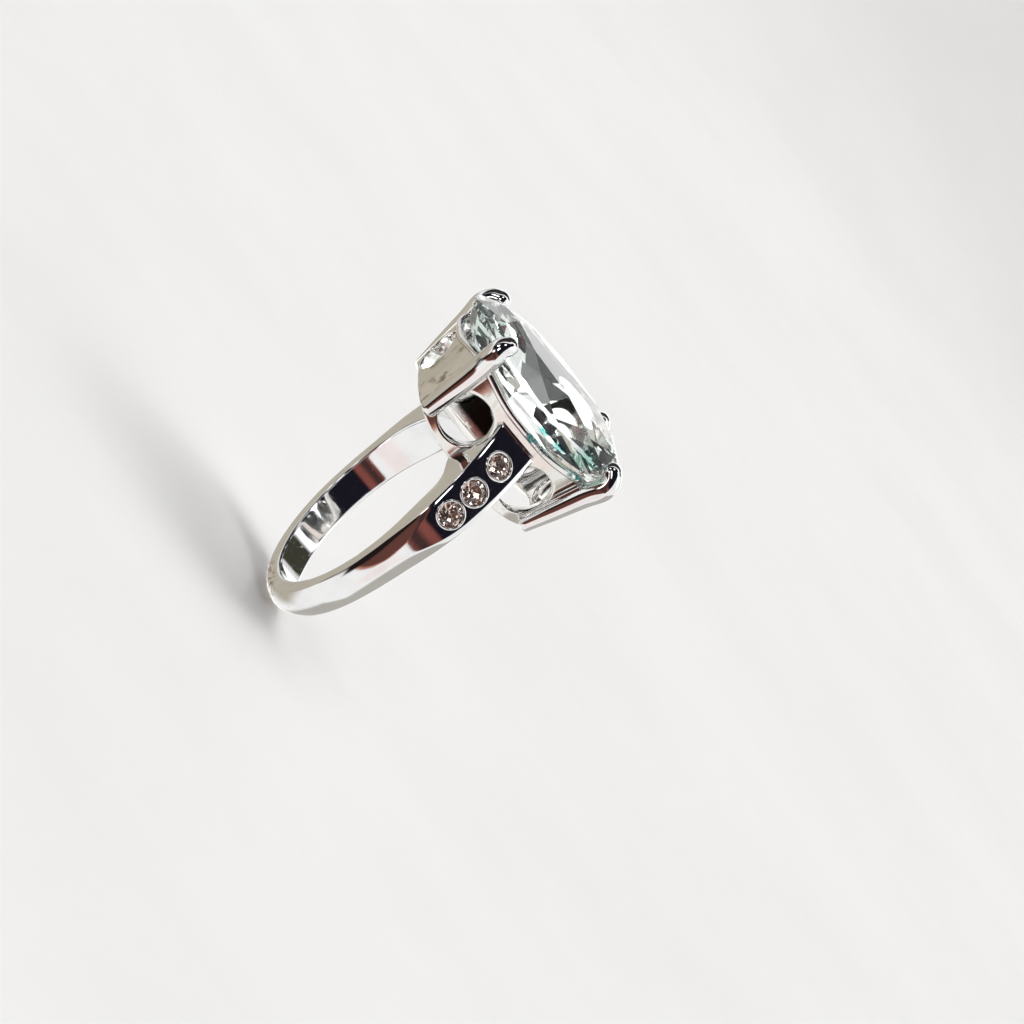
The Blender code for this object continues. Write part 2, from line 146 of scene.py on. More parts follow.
# Gallery: a flared oval wall, half-axes across X and along Y, with a rim that rises at the claws
GALLERY_FOOT = (5.15, 7.20)
GALLERY_TOP = (5.95, 8.00)
GALLERY_FOOT_Z = 7.40
GALLERY_TOP_Z = 13.65
GALLERY_POWER = 3.0
WALL = 1.05
SADDLE_ROUNDS = 6  # rounds of the search for the height at which the wall meets the finger
RAIL_HEIGHT = 0.55
RAIL_OVERLAP = 0.02  # the wall runs this far up into the rail
RAIL_SECTION = (  # how far in from the wall's outer face, and how high
    (-0.02, 0.0),
    (-0.06, 0.12),
    (-0.08, 0.28),
    (-0.04, 0.42),
    (0.06, 0.51),
    (0.22, 0.55),
    (0.42, 0.54),
    (0.66, 0.49),
    (0.88, 0.40),
    (1.02, 0.26),
    (1.06, 0.10),
    (1.04, 0.0),
)
RAIL_SIDES = 216
RIM_RISE = 0.70
SIDE_HOLE = (2.05, 3.60, 10.45)  # radius, distance sideways from the middle, height
END_HOLE = (1.82, 0.0, 11.20)
HOLE_EDGE = 0.16  # rounded corners at the holes and at the foot
FOOT_EDGE = 0.14
INSIDE_FADE = (0.35, 0.65)  # depth in the wall over which the outer face's look turns into the inner face's
# The wall's mesh is cells, one round each hole, with a plain stretch at each corner. The angles at which the
# side's cells end and the ends' cells start are those on the outer and the inner face, in degrees.
SIDE_CELL_END = (54.0, 64.8)
END_CELL_START = (72.0, 69.5)
CELL_COLUMNS, CELL_ROWS, CELL_RINGS, CORNER_COLUMNS = 18, 14, 6, 10
CELL_CROWDING = 1.3  # how much closer the rings lie near the hole

# Claws: centre line of the one at +X and +Y, from foot to tip, and the bar's radius by height
CLAW_PATH = (
    (4.72, 5.85, 8.60),
    (4.93, 6.22, 11.20),
    (5.10, 6.55, 13.60),
    (5.34, 6.86, 15.10),
    (5.26, 6.72, 15.90),
    (5.00, 6.30, 16.34),
)
CLAW_BULGE_Z = 15.10
CLAW_RADIUS = ((8.60, 0.66), (11.20, 0.80), (14.60, 0.92), (16.34, 0.78))
CLAW_STEPS, CLAW_SIDES = 48, 36
FOOT_DOME = 0.25  # how far the claw's foot bulges below its lowest stop
CORNERS = {  # the sides along X and Y, and how far the claw leans along Y at its bulge and at its tip
    "front_right": (1, -1, (0.50, 0.15)),
    "back_right": (1, 1, (0.32, 0.30)),
    "front_left": (-1, -1, (0.05, 0.05)),
    "back_left": (-1, 1, (0.0, 0.0)),
}

# Collets: short tubes that are let into the shoulder's face, at these angles up from the finger hole's middle
ACCENT_ANGLES = {"upper": 53.5, "middle": 41.3, "lower": 30.3}
COLLET_RADIUS = 1.17
COLLET_BORE = 0.97
COLLET_BORE_DEPTH = 0.22  # where the bore starts to close in to its ledge
COLLET_PROUD = 0.12
COLLET_DEPTH = 1.05
COLLET_LEDGE = (0.62, 0.50)  # bore and depth of the seat under the stone
COLLET_SIDES = 72
SEAT_CLEARANCE = 0.03
DRILL_RISE = 1.0  # how far the drill for a collet's seat stands out of the shoulder's face

# Wear, and painted shade on the gallery's inner face, by place in millimetres: pairs are where it starts and
# where it is full, or the other way round
STAINED_ENDS = (5.4, 6.9)  # along Y
# painted shade on the gallery's inner face: between the side holes above its foot, and wider above the holes
PAINTED_SHADE_BETWEEN_HOLES, PAINTED_SHADE_ABOVE_FOOT = (1.7, 2.0), (8.5, 9.0)  # along Y, and height
PAINTED_SHADE_OVER_HOLES, PAINTED_SHADE_WIDENS = (3.2, 3.6), (10.5, 11.0)
SCUFFED_BELOW, SCUFFED_BESIDE = (-10.0, -9.2), (1.8, 3.8)  # height, and along X from the seam
SPECKED_BELOW = (-9.4, -6.5)
MILKY_ENDS = (4.0, 8.0)  # along Y
DEPOSITS = (((5.95, 0.5, 13.6), 0.9), ((5.9, 1.7, 13.8), 0.7), ((5.4, 5.1, 14.2), 1.1))  # place, radius
STONE_TINTS = (  # place, radius, colour
    ((5.7, 4.6, 15.3), 2.0, (0.30, 0.74, 0.62)),
    ((5.8, 0.6, 14.5), 0.8, (0.05, 0.45, 0.40)),
    ((5.6, 2.4, 14.7), 0.9, (0.10, 0.50, 0.45)),
    ((2.5, -8.6, 15.7), 3.2, (0.80, 0.93, 0.89)),
    ((3.0, 8.4, 15.7), 3.0, (0.78, 0.92, 0.87)),
)
STAIN_BROWN = (0.27, 0.22, 0.16)
INNER_WHITE = (0.95, 0.94, 0.92)
# painted shade for the middle of the gallery's inner face
INNER_PAINTED_SHADE = (0.020, 0.024, 0.020)
WORN_PLATING = (0.76, 0.63, 0.55)
CRACK_BROWN = (0.14, 0.09, 0.07)
CRUST_GREEN = (0.02, 0.27, 0.25)


# Shape helpers


def smooth_value(stops, x):
    """A cubic through given stops (x, value), with the slope at each stop taken from its neighbours."""
    last = len(stops) - 1
    index = 0
    while index < last - 1 and x > stops[index + 1][0]:
        index += 1
    (x0, y0), (x1, y1) = stops[index], stops[index + 1]

    def slope(at):
        before, after = stops[max(at - 1, 0)], stops[min(at + 1, last)]
        return (after[1] - before[1]) / (after[0] - before[0])

    span = x1 - x0
    t = (x - x0) / span
    rise = (t * t * (3 - 2 * t)) * (y1 - y0)
    bend = t * (1 - t) ** 2 * slope(index) * span - t * t * (1 - t) * slope(index + 1) * span
    return y0 + rise + bend


def smooth_step(low, high, x):
    t = min(max((x - low) / (high - low), 0.0), 1.0)
    return t * t * (3 - 2 * t)


def soft_min(a, b, softness):
    """The smaller of two values, with the corner between them rounded."""
    blend = max(softness - abs(a - b), 0.0) / softness
    return min(a, b) - blend * blend * softness / 4


def grid(bm, rows, closed=False, cross_closed=False):
    """Quads over rows of points. closed joins each row's ends, and cross_closed the last row to the first."""
    verts = [[bm.verts.new(point) for point in row] for row in rows]
    pairs = list(zip(verts, verts[1:]))
    if cross_closed:
        pairs.append((verts[-1], verts[0]))
    for lower, upper in pairs:
        count = len(lower) if closed else len(lower) - 1
        for index in range(count):
            after = (index + 1) % len(lower)
            bm.faces.new((lower[index], lower[after], upper[after], upper[index]))
    return verts


def place(name, bm, material, replaced, slot, sharp_angle=40.0):
    """Makes a piece from a mesh in millimetres. It rides on the ring and stands for its CAD node."""
    bmesh.ops.recalc_face_normals(bm, faces=bm.faces)
    bm.transform(Matrix.Scale(MM, 4))
    mesh = bpy.data.meshes.new(name)
    bm.to_mesh(mesh)
    bm.free()
    mesh.shade_smooth()
    mesh.set_sharp_from_angle(angle=math.radians(sharp_angle))
    mesh.materials.append(material)
    piece = bpy.data.objects.new(name, mesh)
    bpy.context.scene.collection.objects.link(piece)
    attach(piece, "root")
    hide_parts(replaced)
    return piece


def cut(bm, cutter_bm):
    """The first mesh with the second taken out of it. Both are used up."""
    objects = []
    for source in (bm, cutter_bm):
        bmesh.ops.recalc_face_normals(source, faces=source.faces)
        mesh = bpy.data.meshes.new("cut_source")
        source.to_mesh(mesh)
        source.free()
        obj = bpy.data.objects.new("cut_source", mesh)
        bpy.context.scene.collection.objects.link(obj)
        objects.append(obj)
    target, cutter = objects
    modifier = target.modifiers.new("cut", "BOOLEAN")
    modifier.operation = "DIFFERENCE"
    modifier.solver = "EXACT"
    modifier.object = cutter
    graph = bpy.context.evaluated_depsgraph_get()
    result = bmesh.new()
    result.from_mesh(target.evaluated_get(graph).to_mesh())
    for obj in objects:
        bpy.data.objects.remove(obj)
    return result


# Shank


def polar_xz(radius, degrees):
    return Vector((math.cos(math.radians(degrees)), math.sin(math.radians(degrees)))) * radius


def shank_outer(angle):
    return polar_xz(FINGER_RADIUS + smooth_value(THICKNESS, angle), angle)


ROOT_X = GALLERY_FOOT[0] - ROOT_SINK
FOOT_ANGLE = math.degrees(math.acos(ROOT_X / FINGER_RADIUS))


def root_half_width(z, angle):
    """Half the width at the finger side, or, above the gallery's foot, at the gallery's wall."""
    if angle <= FOOT_ANGLE:
        narrowing = smooth_step(ROOT_NARROWING, FOOT_ANGLE, angle)
        plain = smooth_value(HALF_WIDTH, angle)
        flare = ROOT_FLARE * math.exp(-(((angle - FOOT_ANGLE) / ROOT_FLARE_REACH) ** 2))
        return plain + (ROOT_HALF_WIDTH - plain) * narrowing + flare
    foot_z = polar_xz(FINGER_RADIUS, FOOT_ANGLE).y
    return ROOT_HALF_WIDTH + ROOT_FLARE * math.exp(-(((z - foot_z) / ROOT_FLARE_RISE) ** 2))


def corner_arc(before, corner, after, radius, steps):
    """Points round a corner of an outline, on a quadratic curve that starts and ends a radius from it."""
    before, corner, after = Vector(before), Vector(corner), Vector(after)
    start = corner + (before - corner).normalized() * min(radius, (before - corner).length / 2)
    end = corner + (after - corner).normalized() * min(radius, (after - corner).length / 2)
    points = []
    for index in range(steps + 1):
        t = index / steps
        points.append(start * (1 - t) ** 2 + corner * (2 * t * (1 - t)) + end * t * t)
    return points


def shank_section(inner, outer, angle):
    """One cross-section as points round it, from (x, z) points at the finger side and the outer face."""
    across = outer - inner
    depth = across.length
    across.normalize()
    half_width = smooth_value(HALF_WIDTH, angle)
    drop = min(smooth_value(DOME_DROP, angle), 0.7 * depth)
    over = drop * FLAT_PART**DOME_POWER * smooth_step(FLAT_START, FLAT_FULL, angle)
    flat = (over / drop) ** (1 / DOME_POWER)

    def height(part):
        return soft_min(depth, depth + over - drop * part**DOME_POWER, CREASE)

    root = root_half_width(inner.y, angle)
    inner_edge = min(INNER_EDGE, 0.3 * depth)
    side_edge = min(SIDE_EDGE, 0.2 * depth)
    shoulder = (half_width, height(1.0))
    next_in = (half_width * 0.8, height(0.8))
    right = [Vector((root * share, 0.0)) for share in (0.0, 0.35, 0.7)]
    right += corner_arc((0, 0), (root, 0.0), shoulder, inner_edge, 5)
    for share in (0.3, 0.5, 0.7):
        right.append(Vector((root, 0)).lerp(Vector(shoulder), share))
    right += corner_arc((root, 0.0), shoulder, next_in, side_edge, 5)
    crease = max(flat, 0.12)
    edge_part = right[-1].x / half_width
    parts = [edge_part + (crease - edge_part) * share for share in (0.2, 0.4, 0.6, 0.8, 0.9, 0.95, 1.0)]
    parts += [crease * share for share in (0.97, 0.94, 0.88, 0.75, 0.5, 0.25, 0.0)]
    right += [Vector((half_width * part, height(part))) for part in parts]
    points = []
    left = [Vector((-point.x, point.y)) for point in reversed(right[1:-1])]
    for y, rise in right + left:
        spot = inner + across * rise
        points.append(Vector((spot.x, y, spot.y)))
    return points


def shank_half():
    sections = []
    steps = round((FOOT_ANGLE - SHANK_BOTTOM) / STATION_STEP)
    for index in range(steps + 1):
        angle = SHANK_BOTTOM + (FOOT_ANGLE - SHANK_BOTTOM) * index / steps
        sections.append(shank_section(polar_xz(FINGER_RADIUS, angle), shank_outer(angle), angle))
    foot_z = polar_xz(FINGER_RADIUS, FOOT_ANGLE).y
    end_z = shank_outer(SHOULDER_END).y
    for index in range(1, WALL_STATIONS + 1):
        share = index / WALL_STATIONS
        angle = FOOT_ANGLE + (SHOULDER_END - FOOT_ANGLE) * share
        wall_z = foot_z + (end_z - foot_z) * share
        inner = Vector((wall_axes(wall_z, ROOT_SINK)[0], wall_z))
        sections.append(shank_section(inner, shank_outer(angle), angle))
    return sections


def shoulder_frame(side, angle):
    """The matrix at an accent stone's place, with Z standing out of the shoulder's flat face."""
    here = shank_outer(angle)
    along = (shank_outer(angle + 1.0) - shank_outer(angle - 1.0)).normalized()
    tangent = Vector((along.x * side, 0.0, along.y))
    normal = Vector((along.y * side, 0.0, -along.x))
    matrix = Matrix((tangent, normal.cross(tangent), normal)).transposed().to_4x4()
    matrix.translation = Vector((here.x * side, 0.0, here.y))
    return matrix


def make_shank(material):
    right = shank_half()
    left = [[Vector((-p.x, p.y, p.z)) for p in section] for section in right[1:]]
    bm = bmesh.new()
    verts = grid(bm, list(reversed(left)) + right, closed=True)
    bm.faces.new(verts[0])
    bm.faces.new(verts[-1])
    drill = bmesh.new()
    depth = COLLET_DEPTH + SEAT_CLEARANCE
    for side in (1, -1):
        for angle in ACCENT_ANGLES.values():
            spot = shoulder_frame(side, angle) @ Matrix.Translation((0, 0, (DRILL_RISE - depth) / 2))
            radius = COLLET_RADIUS + SEAT_CLEARANCE
            bmesh.ops.create_cone(
                drill,
                cap_ends=True,
                segments=COLLET_SIDES,
                radius1=radius,
                radius2=radius,
                depth=depth + DRILL_RISE,
                matrix=spot,
            )
    bm = cut(bm, drill)
    for vert in bm.verts:
        x, _, z = vert.co
        reach = math.hypot(x, z)
        lowness = smooth_step(-SEAM_HEIGHTS[1], -SEAM_HEIGHTS[0], -z)
        worn = lowness * smooth_step(FINGER_RADIUS + SEAM_REACH[0], FINGER_RADIUS + SEAM_REACH[1], reach)
        rough = noise.turbulence(vert.co * SEAM_GRAIN, 3, True) - 0.5
        vert.co *= 1 + SEAM_ROUGHNESS * worn * min(rough, 0.0) / reach
    place("shank_skin", bm, material, "shank", "shank_metal", 32.0)


# Gallery


def wall_axes(z, inset):
    share = (z - GALLERY_FOOT_Z) / (GALLERY_TOP_Z - GALLERY_FOOT_Z)
    return [foot + (top - foot) * share - inset for foot, top in zip(GALLERY_FOOT, GALLERY_TOP)]


def wall_point(degrees, z, inset):
    """A point on the gallery's squarish oval, in the direction of an angle, set in from the outer face."""
    half_x, half_y = wall_axes(z, inset)
    across, along = math.cos(math.radians(degrees)), math.sin(math.radians(degrees))
    total = abs(across / half_x) ** GALLERY_POWER + abs(along / half_y) ** GALLERY_POWER
    reach = total ** (-1 / GALLERY_POWER)
    return Vector((across * reach, along * reach, z))


def rim_height(degrees):
    across = math.cos(math.radians(degrees)) / GALLERY_TOP[0]
    along = math.sin(math.radians(degrees)) / GALLERY_TOP[1]
    turn = 2 * math.atan2(along, across)
    return GALLERY_TOP_Z + RIM_RISE * math.sin(turn) ** 4


def wall_top(degrees):
    return rim_height(degrees) - RAIL_HEIGHT + RAIL_OVERLAP


def saddle_height(degrees, inset):
    """The height at which the wall meets the finger's cylinder."""
    z = GALLERY_FOOT_Z
    for _ in range(SADDLE_ROUNDS):
        z = math.sqrt(FINGER_RADIUS**2 - wall_point(degrees, z, inset).x ** 2)
    return z


def side_circle(turn, radius, inset):
    """The direction and height of a point on a side hole's edge. The hole runs along X."""
    _, middle, middle_z = SIDE_HOLE
    y = middle + radius * math.cos(turn)
    z = middle_z + radius * math.sin(turn)
    half_x, half_y = wall_axes(z, inset)
    x = half_x * (1 - abs(y / half_y) ** GALLERY_POWER) ** (1 / GALLERY_POWER)
    return math.degrees(math.atan2(y, x)), z


def end_circle(turn, radius, inset):
    """The same for an end hole, which runs along Y."""
    _, middle, middle_z = END_HOLE
    x = middle - radius * math.cos(turn)
    z = middle_z + radius * math.sin(turn)
    half_x, half_y = wall_axes(z, inset)
    y = half_y * (1 - abs(x / half_x) ** GALLERY_POWER) ** (1 / GALLERY_POWER)
    return math.degrees(math.atan2(y, x)), z


def edge_profile(edge):
    """Pairs (inset, lift) across the wall's thickness, with a rounded corner at each face."""
    arc = [math.radians(angle) for angle in (0, 22.5, 45, 67.5, 90)]
    outer = [(edge * (1 - math.cos(a)), edge * (1 - math.sin(a))) for a in arc]
    inner = [(WALL - inset, lift) for inset, lift in reversed(outer)]
    return outer + inner


def cell_frame(start, end, inset):
    """The rectangle round a hole as points (angle, z), counter-clockwise from its first lower corner."""

    def low(degrees):
        return saddle_height(degrees, inset) + FOOT_EDGE

    points = []
    for index in range(CELL_COLUMNS):
        degrees = start + (end - start) * index / CELL_COLUMNS
        points.append((degrees, low(degrees)))
    for index in range(CELL_ROWS):
        points.append((end, low(end) + (wall_top(end) - low(end)) * index / CELL_ROWS))
    for index in range(CELL_COLUMNS):
        degrees = end + (start - end) * index / CELL_COLUMNS
        points.append((degrees, wall_top(degrees)))
    for index in range(CELL_ROWS):
        points.append((start, wall_top(start) + (low(start) - wall_top(start)) * index / CELL_ROWS))
    return points


def add_cell(bm, start, end, hole, circle, place_point):
    """A stretch of wall round one hole: both faces and the hole's own rounded wall."""
    radius, middle, middle_z = hole
    outer_frame = cell_frame(start[0], end[0], 0.0)
    turns = []
    for degrees, z in outer_frame:
        spot = wall_point(degrees, z, 0.0)
        sideways = spot.y - middle if circle is side_circle else middle - spot.x
        turns.append(math.atan2(z - middle_z, sideways))
    for inset, index in ((0.0, 0), (WALL, 1)):
        border = outer_frame if index == 0 else cell_frame(start[1], end[1], WALL)
        rows = []
        for ring in range(CELL_RINGS + 1):
            share = (ring / CELL_RINGS) ** CELL_CROWDING
            row = []
            for turn, (border_angle, border_z) in zip(turns, border):
                angle, z = circle(turn, radius + HOLE_EDGE, inset)
                angle += (border_angle - angle) * share
                z += (border_z - z) * share
                row.append(place_point(angle, z, inset))
            rows.append(row)
        grid(bm, rows, closed=True)
    rows = []
    for inset, lift in edge_profile(HOLE_EDGE):
        rows.append([place_point(*circle(turn, radius + lift, inset), inset) for turn in turns])
    grid(bm, rows, closed=True)


def add_strips(bm, start, end, columns, place_point):
    """The wall's foot and its top edge along a stretch."""

    def bound(inset):
        share = inset / WALL
        return start[0] + (start[1] - start[0]) * share, end[0] + (end[1] - end[0]) * share

    foot, top = [], []
    for inset, lift in edge_profile(FOOT_EDGE):
        low, high = bound(inset)
        angles = [low + (high - low) * index / columns for index in range(columns + 1)]
        foot.append([place_point(a, saddle_height(a, inset) + lift, inset) for a in angles])
    for inset in (0.0, WALL):
        low, high = bound(inset)
        angles = [low + (high - low) * index / columns for index in range(columns + 1)]
        top.append([place_point(a, wall_top(a), inset) for a in angles])
    grid(bm, foot)
    grid(bm, top)


def add_corner(bm, place_point):
    for index, inset in ((0, 0.0), (1, WALL)):
        low, high = SIDE_CELL_END[index], END_CELL_START[index]
        rows = []
        for row in range(CELL_ROWS + 1):
            points = []
            for column in range(CORNER_COLUMNS + 1):
                degrees = low + (high - low) * column / CORNER_COLUMNS
                bottom = saddle_height(degrees, inset) + FOOT_EDGE
                z = bottom + (wall_top(degrees) - bottom) * row / CELL_ROWS
                points.append(place_point(degrees, z, inset))
            rows.append(points)
        grid(bm, rows)


def make_gallery(material):
    bm = bmesh.new()
    for side_x in (1, -1):
        for side_y in (1, -1):

            def place_point(degrees, z, inset):
                spot = wall_point(degrees, z, inset)
                return Vector((spot.x * side_x, spot.y * side_y, z))

            add_cell(bm, (0.0, 0.0), SIDE_CELL_END, SIDE_HOLE, side_circle, place_point)
            add_strips(bm, (0.0, 0.0), SIDE_CELL_END, CELL_COLUMNS, place_point)
            add_corner(bm, place_point)
            add_strips(bm, SIDE_CELL_END, END_CELL_START, CORNER_COLUMNS, place_point)

    for side_y in (1, -1):
        end_start = END_CELL_START
        end_end = tuple(180.0 - degrees for degrees in END_CELL_START)

        def place_end(degrees, z, inset):
            spot = wall_point(degrees, z, inset)
            return Vector((spot.x, spot.y * side_y, z))

        add_cell(bm, end_start, end_end, END_HOLE, end_circle, place_end)
        add_strips(bm, end_start, end_end, CELL_COLUMNS, place_end)
    bmesh.ops.remove_doubles(bm, verts=bm.verts, dist=1e-4)
    inside = bm.verts.layers.float.new("inside")
    for vert in bm.verts:
        half_x, half_y = wall_axes(vert.co.z, 0.0)
        level = abs(vert.co.x / half_x) ** GALLERY_POWER + abs(vert.co.y / half_y) ** GALLERY_POWER
        inset = (1 - level ** (1 / GALLERY_POWER)) * half_x
        vert[inside] = smooth_step(*INSIDE_FADE, inset)
    place("gallery_skin", bm, material, "gallery", "gallery_metal", 60.0)


def make_rail(material):
    """The rounded rim on top of the gallery's wall."""
    bm = bmesh.new()
    rows = []
    for index in range(RAIL_SIDES):
        degrees = 360 * index / RAIL_SIDES
        base = rim_height(degrees) - RAIL_HEIGHT
        rows.append([wall_point(degrees, base + lift, inset) for inset, lift in RAIL_SECTION])
    grid(bm, rows, closed=True, cross_closed=True)
    piece = place("rail_skin", bm, material, "gallery_rail", "rail_metal", 60.0)
    subdivision = piece.modifiers.new("smooth", "SUBSURF")
    subdivision.levels = 1
    subdivision.render_levels = 1


# Claws


def claw_path(side_x, side_y, lean):
    stops = ((CLAW_PATH[0][2], 0.0), (CLAW_BULGE_Z, lean[0]), (CLAW_PATH[-1][2], lean[1]))
    return [Vector((x * side_x, y * side_y + smooth_value(stops, z), z)) for x, y, z in CLAW_PATH]


def curve_point(path, share):
    place_on = share * (len(path) - 1)
    stops = [[(index, point[axis]) for index, point in enumerate(path)] for axis in range(3)]
    return Vector([smooth_value(stops[axis], place_on) for axis in range(3)])


def make_claw(corner, material):
    side_x, side_y, lean = CORNERS[corner]
    path = claw_path(side_x, side_y, lean)
    centres = [curve_point(path, index / CLAW_STEPS) for index in range(CLAW_STEPS + 1)]
    sideways = Vector((side_y, -side_x, 0)).normalized()
    rings = []

    def add_ring(centre, tangent, radius):
        first = (sideways - tangent * sideways.dot(tangent)).normalized()
        second = tangent.cross(first)
        turns = [2 * math.pi * index / CLAW_SIDES for index in range(CLAW_SIDES)]
        rings.append([centre + (first * math.cos(t) + second * math.sin(t)) * radius for t in turns])

    dome = [math.radians(angle) for angle in (4, 15, 30, 45, 60, 75)]
    start = (centres[1] - centres[0]).normalized()
    end = (centres[-1] - centres[-2]).normalized()
    foot, tip = CLAW_RADIUS[0][1], CLAW_RADIUS[-1][1]
    for angle in dome:
        add_ring(centres[0] - start * FOOT_DOME * math.cos(angle), start, foot * math.sin(angle))
    for index, centre in enumerate(centres):
        ahead = centres[min(index + 1, CLAW_STEPS)]
        behind = centres[max(index - 1, 0)]
        add_ring(centre, (ahead - behind).normalized(), smooth_value(CLAW_RADIUS, centre.z))
    for angle in reversed(dome):
        add_ring(centres[-1] + end * tip * math.cos(angle), end, tip * math.sin(angle))
    bm = bmesh.new()
    verts = grid(bm, rings, closed=True)
    bm.faces.new(verts[0])
    bm.faces.new(verts[-1])
    place(f"claw_skin_{corner}", bm, material, f"claw_{corner}", "claw_metal", 60.0)


# Collets


def make_collet(side_name, side, level, material):
    """A turned tube with a rounded bright lip and a seat for its stone."""
    ledge_bore, ledge_depth = COLLET_LEDGE
    half = (COLLET_RADIUS - COLLET_BORE) / 2
    lip = [math.radians(angle) for angle in (0, 20, 40, 60, 80, 100, 120, 140, 160, 180)]
    profile = [(ledge_bore, -COLLET_DEPTH), (COLLET_RADIUS, -COLLET_DEPTH)]
    for angle in lip:
        radius = COLLET_BORE + half + half * math.cos(angle)
        profile.append((radius, COLLET_PROUD - half + half * math.sin(angle)))
    profile += [(COLLET_BORE, -COLLET_BORE_DEPTH), (ledge_bore, -ledge_depth)]
    rows = []
    for radius, z in profile:
        turns = [2 * math.pi * index / COLLET_SIDES for index in range(COLLET_SIDES)]
        rows.append([Vector((radius * math.cos(t), radius * math.sin(t), z)) for t in turns])
    bm = bmesh.new()
    grid(bm, rows, closed=True, cross_closed=True)
    bm.transform(shoulder_frame(side, ACCENT_ANGLES[level]))
    node = f"collet_{side_name}_{level}"
    place(f"{node}_skin", bm, material, node, "collet_metal", 50.0)


# Materials


class Shader:
    """A material's node tree with short ways to add and link nodes."""

    def __init__(self, name):
        self.material = bpy.data.materials.new(name)
        self.material.use_nodes = True
        self.tree = self.material.node_tree
        self.surface = self.tree.nodes["Principled BSDF"]
        coordinates = self.tree.nodes.new("ShaderNodeTexCoord")
        self.millimetres = self.math_vector("SCALE", coordinates.outputs["Object"], scale=1 / MM)

    def link(self, source, target):
        self.tree.links.new(source, target)

    def fill(self, socket, value):
        if hasattr(value, "is_output"):
            self.link(value, socket)
        else:
            socket.default_value = value

    def math_vector(self, operation, first, second=None, scale=None):
        node = self.tree.nodes.new("ShaderNodeVectorMath")
        node.operation = operation
        self.fill(node.inputs[0], first)
        if second is not None:
            self.fill(node.inputs[1], second)
        if scale is not None:
            node.inputs["Scale"].default_value = scale
        return node.outputs[0]

    def math(self, operation, first, second=0.0, third=0.0):
        node = self.tree.nodes.new("ShaderNodeMath")
        node.operation = operation
        for socket, value in zip(node.inputs, (first, second, third)):
            self.fill(socket, value)
        return node.outputs[0]

    def noise(self, size, detail=3.0, stretch=(1, 1, 1), roughness=0.55):
        """Noise whose grain is about this many millimetres."""
        vector = self.math_vector("MULTIPLY", self.millimetres, tuple(1 / part for part in stretch))
        node = self.tree.nodes.new("ShaderNodeTexNoise")
        node.inputs["Scale"].default_value = 1 / size
        node.inputs["Detail"].default_value = detail
        node.inputs["Roughness"].default_value = roughness
        self.link(vector, node.inputs["Vector"])
        return node.outputs["Fac"]

    def ramp(self, value, low, high, to_low=0.0, to_high=1.0):
        node = self.tree.nodes.new("ShaderNodeMapRange")
        node.interpolation_type = "SMOOTHSTEP"
        for name, part in zip(("From Min", "From Max", "To Min", "To Max"), (low, high, to_low, to_high)):
            node.inputs[name].default_value = part
        self.fill(node.inputs["Value"], value)
        return node.outputs["Result"]

    def mix(self, factor, first, second):
        node = self.tree.nodes.new("ShaderNodeMix")
        node.data_type = "RGBA"
        self.fill(node.inputs["Factor"], factor)
        self.fill(node.inputs["A"], (*first, 1.0) if isinstance(first, tuple) else first)
        self.fill(node.inputs["B"], (*second, 1.0) if isinstance(second, tuple) else second)
        return node.outputs["Result"]

    def place(self, axis):
        """Each point's place along an axis, in millimetres."""
        node = self.tree.nodes.new("ShaderNodeSeparateXYZ")
        self.link(self.millimetres, node.inputs[0])
        return node.outputs[axis]

    def away(self, axis, middle=0.0):
        """Each point's distance along an axis from the middle, on either side, in millimetres."""
        place = self.place(axis)
        if middle:
            place = self.math("SUBTRACT", place, middle)
        return self.math("ABSOLUTE", place)

    def attribute(self, name):
        node = self.tree.nodes.new("ShaderNodeAttribute")
        node.attribute_name = name
        return node.outputs["Fac"]

    def near(self, point, radius):
        """1 at a point, given in millimetres, falling to 0 at the radius."""
        node = self.tree.nodes.new("ShaderNodeVectorMath")
        node.operation = "DISTANCE"
        self.link(self.millimetres, node.inputs[0])
        node.inputs[1].default_value = point
        return self.ramp(node.outputs["Value"], 0.35 * radius, radius, 1.0, 0.0)

    def bump(self, height, depth, under=None):
        """Relief of this depth in millimetres."""
        node = self.tree.nodes.new("ShaderNodeBump")
        node.inputs["Distance"].default_value = depth * MM
        self.link(height, node.inputs["Height"])
        if under is not None:
            self.link(under, node.inputs["Normal"])
        return node.outputs["Normal"]


def add_stains(shader, base, rough, amount):
    """Brown patches and vertical streaks, strongest at the gallery's two ends."""
    patches = shader.ramp(shader.noise(0.8, 5.0, (1.0, 1.0, 1.9)), 0.52, 0.70)
    end = shader.ramp(shader.away("Y"), *STAINED_ENDS, 0.25, 1.0)
    streaks = shader.ramp(shader.noise(0.3, 3.0, (1.0, 1.0, 7.0)), 0.60, 0.72)
    patches = shader.math("MAXIMUM", patches, streaks)
    patches = shader.math("MULTIPLY", shader.math("MULTIPLY", patches, end), amount)
    base = shader.mix(patches, base, STAIN_BROWN)
    return base, shader.math("MULTIPLY_ADD", patches, 0.22, rough)


def add_inner_face_with_painted_shade(shader, base, rough):
    """The gallery's bright inner face, with painted shade over its middle between the side holes, wider above
    them.
    """
    inside = shader.attribute("inside")
    base = shader.mix(inside, base, INNER_WHITE)
    # painted shade: the inner face turned near-black between the side holes, and wider above them
    between = shader.ramp(shader.away("Y"), *PAINTED_SHADE_BETWEEN_HOLES, 1.0, 0.0)
    between = shader.math("MULTIPLY", between, shader.ramp(shader.place("Z"), *PAINTED_SHADE_ABOVE_FOOT))
    above = shader.ramp(shader.away("Y"), *PAINTED_SHADE_OVER_HOLES, 1.0, 0.0)
    above = shader.math("MULTIPLY", above, shader.ramp(shader.place("Z"), *PAINTED_SHADE_WIDENS))
    dark = shader.math("MAXIMUM", between, above)
    base = shader.mix(shader.math("MULTIPLY", inside, dark), base, INNER_PAINTED_SHADE)
    return base, shader.math("MULTIPLY_ADD", inside, 0.06, rough)


